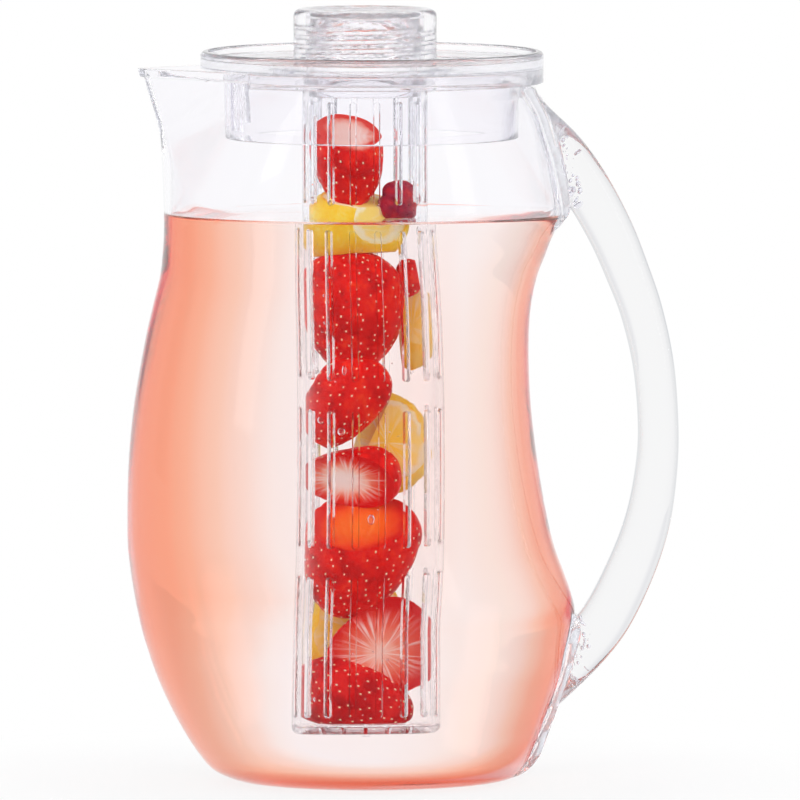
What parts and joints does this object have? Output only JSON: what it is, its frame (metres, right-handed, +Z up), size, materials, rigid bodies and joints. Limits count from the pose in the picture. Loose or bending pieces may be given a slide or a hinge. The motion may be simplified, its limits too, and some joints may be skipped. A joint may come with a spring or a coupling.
{
  "type": "fruit infuser pitcher",
  "caption": "Clear waisted jug with a pouring spout and a bonded bow handle, a plug lid with strainer slots, and a slotted infuser tube hung from a screw knob.",
  "frame": {"origin": "on the base's flat face, under the axis of the lid", "axes": "+Z up, +X towards the handle, -X towards the spout"},
  "size_m": [0.1842, 0.1382, 0.2589],
  "materials": {
    "pitcher_body": "clear moulded acrylic, polished",
    "handle": "clear solid acrylic, polished, bonded at both ends",
    "lid": "clear moulded acrylic, polished",
    "knob": "clear moulded acrylic, polished",
    "infuser_tube": "clear moulded acrylic, polished",
    "infuser_collar": "clear moulded acrylic, polished"
  },
  "bodies": {
    "jug": {"pitcher_body": "pitcher_body", "handle": "handle"},
    "lid": {"lid": "lid"},
    "knob": {"knob": "knob"},
    "infuser": {"infuser_tube": "infuser_tube", "infuser_collar": "infuser_collar"}
  },
  "joints": [
    {"name": "lid_lift", "type": "slide", "parent": "jug", "child": "lid", "axis": [0, 0, 1], "range_m": [0, 0.226]},
    {"name": "knob_turn", "type": "hinge", "parent": "lid", "child": "knob", "pos_m": [-0.0023, 0, 0.25], "axis": [0, 0, 1], "range_deg": [0, 1080]},
    {"name": "infuser_drop", "type": "slide", "parent": "lid", "child": "infuser", "axis": [0, 0, -1], "range_m": [0, 0.009]}
  ],
  "couplings": [
    {"joint": "infuser_drop", "follows": "knob_turn", "m_per_rad": 0.00047746}
  ]
}
